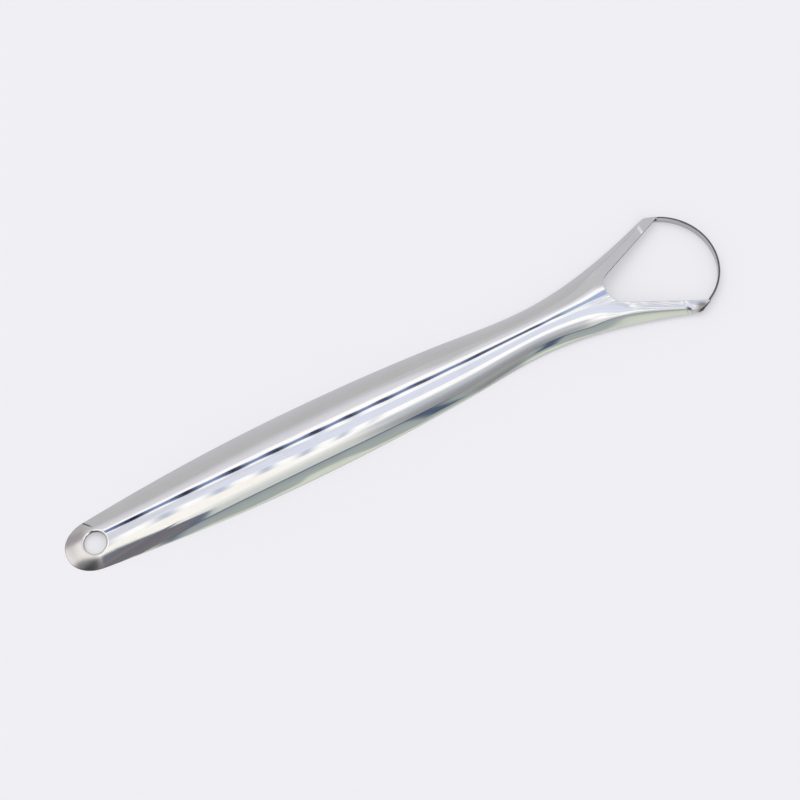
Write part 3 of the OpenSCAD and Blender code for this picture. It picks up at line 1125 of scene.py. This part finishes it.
def card(name, start, across, up, glow, strength, step=5):
    """A card that the camera doesn't see and the steel reflects, with its own glow at each place.

    Its corner, its sides and the step of its mesh are in millimetres.
    """
    columns = round(across.length / step)
    rows = round(up.length / step)
    points = []
    colours = []
    for j in range(rows + 1):
        for i in range(columns + 1):
            place = start + across * (i / columns) + up * (j / rows)
            points.append(place * MM)
            colours.extend((*(c * strength for c in glow(place)), 1))
    faces = []
    for j in range(rows):
        for i in range(columns):
            first = j * (columns + 1) + i
            faces.append((first, first + 1, first + columns + 2, first + columns + 1))
    data = bpy.data.meshes.new(name)
    data.from_pydata(points, [], faces)
    data.color_attributes.new("glow", "FLOAT_COLOR", "POINT").data.foreach_set("color", colours)
    material, tree = new_material(name)
    tree.nodes.clear()
    shade = node(tree, "ShaderNodeVertexColor", layer_name="glow")["Color"]
    lamp = node(tree, "ShaderNodeEmission", {"Color": shade})[0]
    node(tree, "ShaderNodeOutputMaterial", {"Surface": lamp})
    piece = link(data, name, [material])
    piece.visible_camera = False
    piece.visible_diffuse = False
    piece.visible_shadow = False


def direction(azimuth, elevation):
    """Way out of the part, turned from its right side towards its front and raised."""
    flat = math.cos(elevation)
    return Vector((math.sin(azimuth) * flat, -math.cos(azimuth) * flat, math.sin(elevation)))


class SCRAPER_OT_studio(bpy.types.Operator):
    """Set up the floor, the lamps and the camera"""

    bl_idname = "scraper.studio"
    bl_label = "Studio"

    def execute(self, context):
        scene = context.scene
        studio = scene.scraper_studio
        self.floor(scene, studio)
        self.lamps(studio)
        self.world(scene, studio)
        self.camera(scene, studio)
        scene.view_settings.view_transform = "Standard"
        return {"FINISHED"}

    def floor(self, scene, studio):
        half = studio.floor_size / 2
        corners = [(-half, -half, 0), (half, -half, 0), (half, half, 0), (-half, half, 0)]
        data = bpy.data.meshes.new("floor")
        data.from_pydata(corners, [], [(0, 1, 2, 3)])
        # Matt paper gives an even pale ground that takes a soft shadow.
        material, tree = new_material("Pale_paper")
        colour = (*scene.scraper_finishes.floor, 1)
        shader = tree.nodes["Principled BSDF"]
        shader.inputs["Base Color"].default_value = colour
        shader.inputs["Roughness"].default_value = 0.9
        shader.inputs["Specular IOR Level"].default_value = 0.2
        glow = node(tree, "ShaderNodeEmission", {"Color": colour})[0]
        part = node(tree, "ShaderNodeMath", {0: self.seen(tree), 1: studio.even}, operation="MULTIPLY")[0]
        paper = node(tree, "ShaderNodeMixShader", {0: part, 1: shader.outputs[0], 2: glow})[0]
        tree.links.new(paper, tree.nodes["Material Output"].inputs["Surface"])
        link(data, "floor", [material])

    def seen(self, tree):
        """1 for what the camera sees, straight or in the steel, and 0 for what lights the floor."""
        rays = node(tree, "ShaderNodeLightPath")
        ways = {0: rays["Is Camera Ray"], 1: rays["Is Glossy Ray"]}
        return node(tree, "ShaderNodeMath", ways, operation="MAXIMUM")[0]

    def lamps(self, studio):
        lamp = Lamp()
        height = studio.ceiling / MM
        front = -studio.wall / MM
        foot = 1
        width = Vector((lamp.right_edge - lamp.left_edge, 0, 0))
        depth = Vector((0, lamp.far_edge - front, 0))
        rise = Vector((0, 0, height - foot))
        high = Vector((lamp.left_edge, front, height))
        low = Vector((lamp.left_edge, front, foot))
        card("overhead_lamp", high, width, depth, lambda p: lamp.overhead(p.x, p.y), studio.lamp)
        card("front_card", low, width, rise, lambda p: lamp.front(p.x, p.z), studio.lamp)
        card("left_card", low, depth, rise, lambda p: lamp.left(p.y, p.z), studio.lamp, step=15)
        data = bpy.data.lights.new("far_lamp", "SUN")
        data.energy = studio.far_lamp
        data.angle = studio.far_lamp_size
        far_lamp = link(data, "far_lamp")
        far_lamp.visible_glossy = False
        way = direction(math.pi + studio.far_lamp_turn, studio.far_lamp_height)
        far_lamp.rotation_euler = way.to_track_quat("Z", "Y").to_euler()

    def world(self, scene, studio):
        world = bpy.data.worlds.new("Studio")
        world.use_nodes = True
        scene.world = world
        tree = world.node_tree
        back = tree.nodes["Background"].inputs
        back["Color"].default_value = (1, 1, 1, 1)
        levels = {"Value": self.seen(tree), "To Min": studio.shade, "To Max": studio.room}
        tree.links.new(node(tree, "ShaderNodeMapRange", levels)["Result"], back["Strength"])

    def camera(self, scene, studio):
        data = bpy.data.cameras.new("camera")
        data.lens = studio.lens
        data.sensor_width = 36
        data.clip_end = 20
        camera = link(data, "camera")
        away = direction(studio.azimuth, studio.elevation)
        camera.location = Vector((0, studio.target_y, 0)) + away * studio.distance
        camera.rotation_euler = away.to_track_quat("Z", "Y").to_euler()
        scene.camera = camera


class SCRAPER_PT_panel(bpy.types.Panel):
    """Sizes, colours and steps of the tongue scraper"""

    bl_label = "Tongue scraper"
    bl_idname = "SCRAPER_PT_panel"
    bl_space_type = "VIEW_3D"
    bl_region_type = "UI"
    bl_category = "Scraper"

    def draw(self, context):
        layout = self.layout
        for operator in OPERATORS:
            layout.operator(operator.bl_idname)
        for name in GROUPS:
            group = getattr(context.scene, name)
            for key in group.__annotations__:
                layout.prop(group, key)


GROUPS = {
    "scraper_handle": HandleSizes,
    "scraper_band": BandSizes,
    "scraper_finishes": Finishes,
    "scraper_studio": StudioSizes,
}
OPERATORS = (SCRAPER_OT_handle, SCRAPER_OT_band, SCRAPER_OT_welds, SCRAPER_OT_studio)


def register():
    for group in GROUPS.values():
        bpy.utils.register_class(group)
    for made in (*OPERATORS, SCRAPER_PT_panel):
        bpy.utils.register_class(made)
    for name, group in GROUPS.items():
        setattr(bpy.types.Scene, name, bpy.props.PointerProperty(type=group))


def unregister():
    for name in GROUPS:
        delattr(bpy.types.Scene, name)
    for made in (SCRAPER_PT_panel, *reversed(OPERATORS), *reversed(GROUPS.values())):
        bpy.utils.unregister_class(made)


def main():
    register()
    bpy.ops.scraper.handle()
    bpy.ops.scraper.band()
    bpy.ops.scraper.welds()
    bpy.ops.scraper.studio()


if __name__ == "__main__":
    main()
